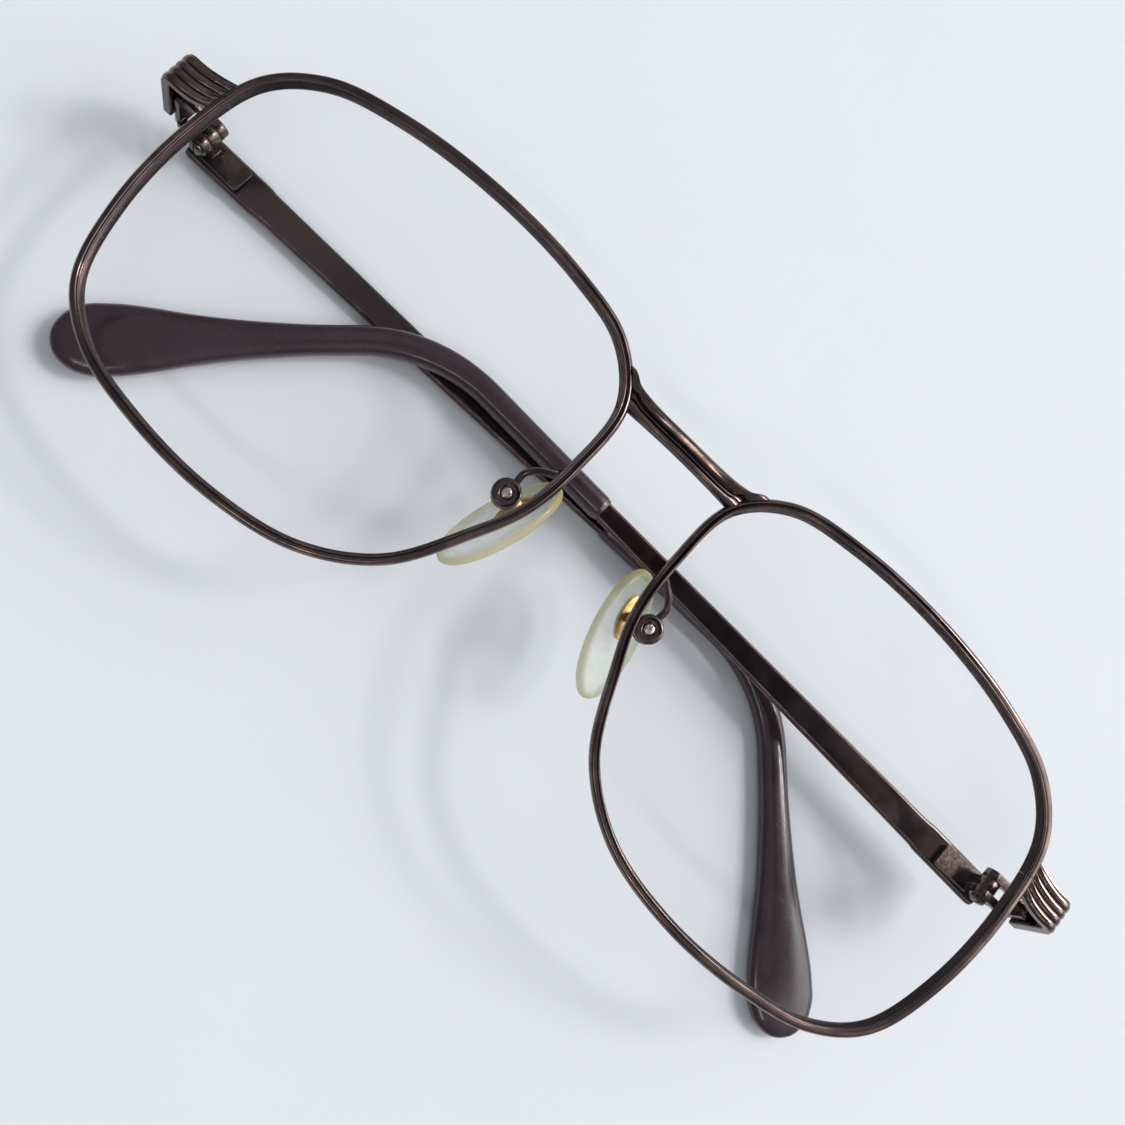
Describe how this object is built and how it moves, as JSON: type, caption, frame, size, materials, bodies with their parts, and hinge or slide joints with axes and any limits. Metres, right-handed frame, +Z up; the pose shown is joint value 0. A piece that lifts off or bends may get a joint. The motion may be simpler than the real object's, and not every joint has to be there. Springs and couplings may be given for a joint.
{
  "type": "eyeglasses",
  "caption": "Metal full-rim eyeglasses with a double-lobed bridge, ridged end pieces, folding temples with paddle-shaped plastic tips, and rocking nose pads.",
  "frame": {"origin": "centre of the folded object's box, on the table it lies on", "axes": "+X across the front from the wearer's right to the wearer's left; +Y towards the top of the front; +Z up from the table, roughly the way the front faces"},
  "size_m": [0.1352, 0.0454, 0.0246],
  "materials": {
    "gunmetal": "glossy dark brown gunmetal plating",
    "hinge_steel": "dark satin steel",
    "screw_steel": "bright turned steel",
    "lens": "clear, polished",
    "tip_plastic": "glossy dark plum brown",
    "pad_silicone": "clear soft silicone, slightly yellowed",
    "pad_core_brass": "dull golden brown"
  },
  "bodies": {
    "front": {"bridge": "gunmetal", "right_eyewire": "gunmetal", "right_lens": "lens", "right_closing_block_upper": "gunmetal", "right_closing_block_lower": "gunmetal", "right_closing_screw": "screw_steel", "right_end_piece": "gunmetal", "right_hinge_front_leaf": "hinge_steel", "right_hinge_screw": "screw_steel", "right_pad_arm": "gunmetal", "right_pad_box": "gunmetal", "right_pad_screw": "screw_steel", "left_eyewire": "gunmetal", "left_lens": "lens", "left_closing_block_upper": "gunmetal", "left_closing_block_lower": "gunmetal", "left_closing_screw": "screw_steel", "left_end_piece": "gunmetal", "left_hinge_front_leaf": "hinge_steel", "left_hinge_screw": "screw_steel", "left_pad_arm": "gunmetal", "left_pad_box": "gunmetal", "left_pad_screw": "screw_steel"},
    "right_temple": {"right_hinge_temple_leaf": "hinge_steel", "right_temple_bar": "gunmetal", "right_temple_tip": "tip_plastic"},
    "left_temple": {"left_hinge_temple_leaf": "hinge_steel", "left_temple_bar": "gunmetal", "left_temple_tip": "tip_plastic"},
    "right_nose_pad_assembly": {"right_nose_pad": "pad_silicone", "right_pad_core": "pad_core_brass"},
    "left_nose_pad_assembly": {"left_nose_pad": "pad_silicone", "left_pad_core": "pad_core_brass"}
  },
  "joints": [
    {"name": "right_temple_fold", "type": "hinge", "parent": "front", "child": "right_temple", "pos_m": [-0.06216, 0.00832, 0.00557], "axis": [0, 1, 0], "range_deg": [0, 87]},
    {"name": "left_temple_fold", "type": "hinge", "parent": "front", "child": "left_temple", "pos_m": [0.06268, 0.00832, 0.01185], "axis": [0, -1, 0], "range_deg": [0, 90]},
    {"name": "right_pad_rock", "type": "hinge", "parent": "front", "child": "right_nose_pad_assembly", "pos_m": [-0.0108, 0.00026, 0.01473], "axis": [-0.0499, -0.1219, 0.9913], "range_deg": [-10, 10]},
    {"name": "left_pad_rock", "type": "hinge", "parent": "front", "child": "left_nose_pad_assembly", "pos_m": [0.01067, 0.00026, 0.01581], "axis": [-0.0499, -0.1219, 0.9913], "range_deg": [-10, 10]}
  ]
}
